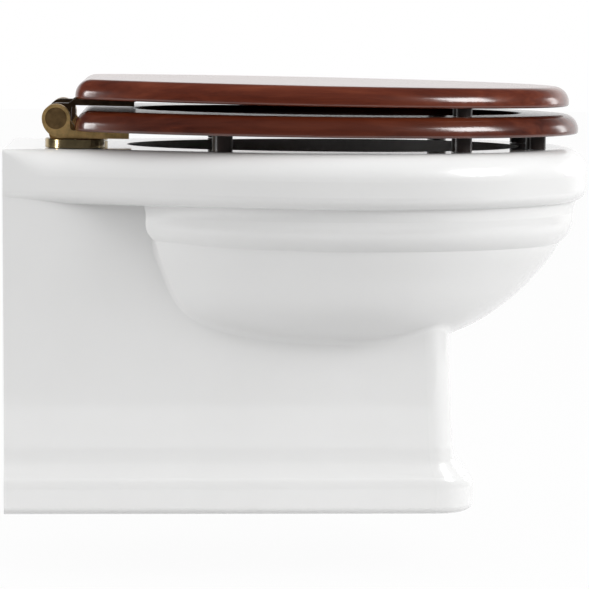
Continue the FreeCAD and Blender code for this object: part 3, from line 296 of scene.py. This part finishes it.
# Floor: pale grey to the light, and nearly white to the camera and in reflections
FLOOR_DROP = 0.062
FLOOR_LENGTH = 4.0
FLOOR_DEPTH = 12.0
FLOOR_FRONT = -0.9
FLOOR_GLOW = 0.96
FLOOR_ROUGHNESS = 0.9
PALE = (0.64, 0.64, 0.64)
floor_z = cad_box[0][2] - FLOOR_DROP
floor_middle = (MIDDLE[0], FLOOR_FRONT + FLOOR_DEPTH / 2, floor_z)
bpy.ops.mesh.primitive_plane_add(size=1.0, location=floor_middle)
floor = bpy.context.object
floor.name = "floor"
floor.scale = (FLOOR_LENGTH, FLOOR_DEPTH, 1.0)
floor_material, floor_tree, floor_shader = new_material("pale_floor")
feed(floor_shader, {"Base Color": opaque(PALE), "Roughness": FLOOR_ROUGHNESS})
glow = add(floor_tree, "ShaderNodeEmission", {"Color": opaque(WHITE), "Strength": 1.0})
floor_seen = ray_is(floor_tree, "Is Camera Ray", "Is Transmission Ray", "Is Glossy Ray")
glow_share = calculate(floor_tree, "MULTIPLY", floor_seen, FLOOR_GLOW)
floor_mix = add(floor_tree, "ShaderNodeMixShader", {
    "Fac": glow_share,
    1: floor_shader.outputs["BSDF"],
    2: glow.outputs["Emission"],
})
feed(floor_tree.nodes["Material Output"], {"Surface": floor_mix.outputs["Shader"]})
floor.data.materials.append(floor_material)

# Studio: soft light that grows towards the zenith; reflections show a white backdrop behind and a dim room
SOFT_SIDE = 0.04
SOFT_TOP = 1.0
SOFT_RISE = (0.1, 0.6)
DIM_FRONT = 0.15
CEILING = 0.05
CEILING_RISE = (-0.1, 0.3)
BACKDROP_TURN = (0.3, 0.7)
BACKDROP_RISE = (0.25, 0.6)
world = bpy.data.worlds.new("studio")
world.use_nodes = True
scene.world = world
world_tree = world.node_tree
direction = add(world_tree, "ShaderNodeTexCoord").outputs["Generated"]
axes = add(world_tree, "ShaderNodeSeparateXYZ", {"Vector": direction}).outputs


def fade(axis, ends, results):
    """Soft change of a light level along one axis of the ray's direction."""
    return rescale(world_tree, axes[axis], ends, results, curve="SMOOTHSTEP")


soft_light = fade("Z", SOFT_RISE, (SOFT_SIDE, SOFT_TOP))
behind = fade("Y", BACKDROP_TURN, UNIT)
not_high = fade("Z", BACKDROP_RISE, (1.0, 0.0))
backdrop = calculate(world_tree, "MULTIPLY", behind, not_high)
dim_room = fade("Z", CEILING_RISE, (DIM_FRONT, CEILING))
reflected = calculate(world_tree, "MAXIMUM", backdrop, dim_room)
unseen = mix(world_tree, "FLOAT", ray_is(world_tree, "Is Glossy Ray"), soft_light, reflected)
seen = ray_is(world_tree, "Is Camera Ray", "Is Transmission Ray")
level = mix(world_tree, "FLOAT", seen, unseen, 1.0)
feed(world_tree.nodes["Background"], {"Color": opaque(WHITE), "Strength": level})


# Soft boxes, turned to the middle
def soft_box(name, place, width, height, watts):
    data = bpy.data.lights.new(name, "AREA")
    data.shape = "RECTANGLE"
    data.size = width
    data.size_y = height
    data.energy = watts
    lamp = bpy.data.objects.new(name, data)
    scene.collection.objects.link(lamp)
    lamp.location = place
    lamp.rotation_euler = (Vector(MIDDLE) - Vector(place)).to_track_quat("-Z", "Y").to_euler()


soft_box("right_light", place=(1.95, -1.1, 1.1), width=0.74, height=0.80, watts=27.0)
soft_box("left_light", place=(-1.9, -0.7, 0.45), width=0.28, height=1.2, watts=18.0)
soft_box("back_light", place=(2.0, 0.75, 0.38), width=0.3, height=0.6, watts=3.0)

# Camera at the photo's view, with its angles in radians
IMAGE_WIDTH = 589
FOCAL_PIXELS = 2719.3
SENSOR_WIDTH = 36.0
CAMERA_PLACE = Vector((0.1517, -2.6008, 0.2124))
CAMERA_YAW = -0.0466
CAMERA_PITCH = 0.1066
CAMERA_ROLL = 0.0075
level_right = Vector((math.cos(CAMERA_YAW), math.sin(CAMERA_YAW), 0.0))
level_forward = Vector((-math.sin(CAMERA_YAW), math.cos(CAMERA_YAW), 0.0))
up_axis = Vector((0.0, 0.0, 1.0))
forward = level_forward * math.cos(CAMERA_PITCH) - up_axis * math.sin(CAMERA_PITCH)
level_up = level_forward * math.sin(CAMERA_PITCH) + up_axis * math.cos(CAMERA_PITCH)
right = level_right * math.cos(CAMERA_ROLL) + level_up * math.sin(CAMERA_ROLL)
up = level_up * math.cos(CAMERA_ROLL) - level_right * math.sin(CAMERA_ROLL)
camera_data = bpy.data.cameras.new("camera")
camera_data.sensor_width = SENSOR_WIDTH
camera_data.lens = FOCAL_PIXELS / IMAGE_WIDTH * SENSOR_WIDTH
camera = bpy.data.objects.new("camera", camera_data)
scene.collection.objects.link(camera)
turn = Matrix((right, up, -forward)).transposed().to_4x4()
camera.matrix_world = Matrix.Translation(CAMERA_PLACE) @ turn
scene.camera = camera
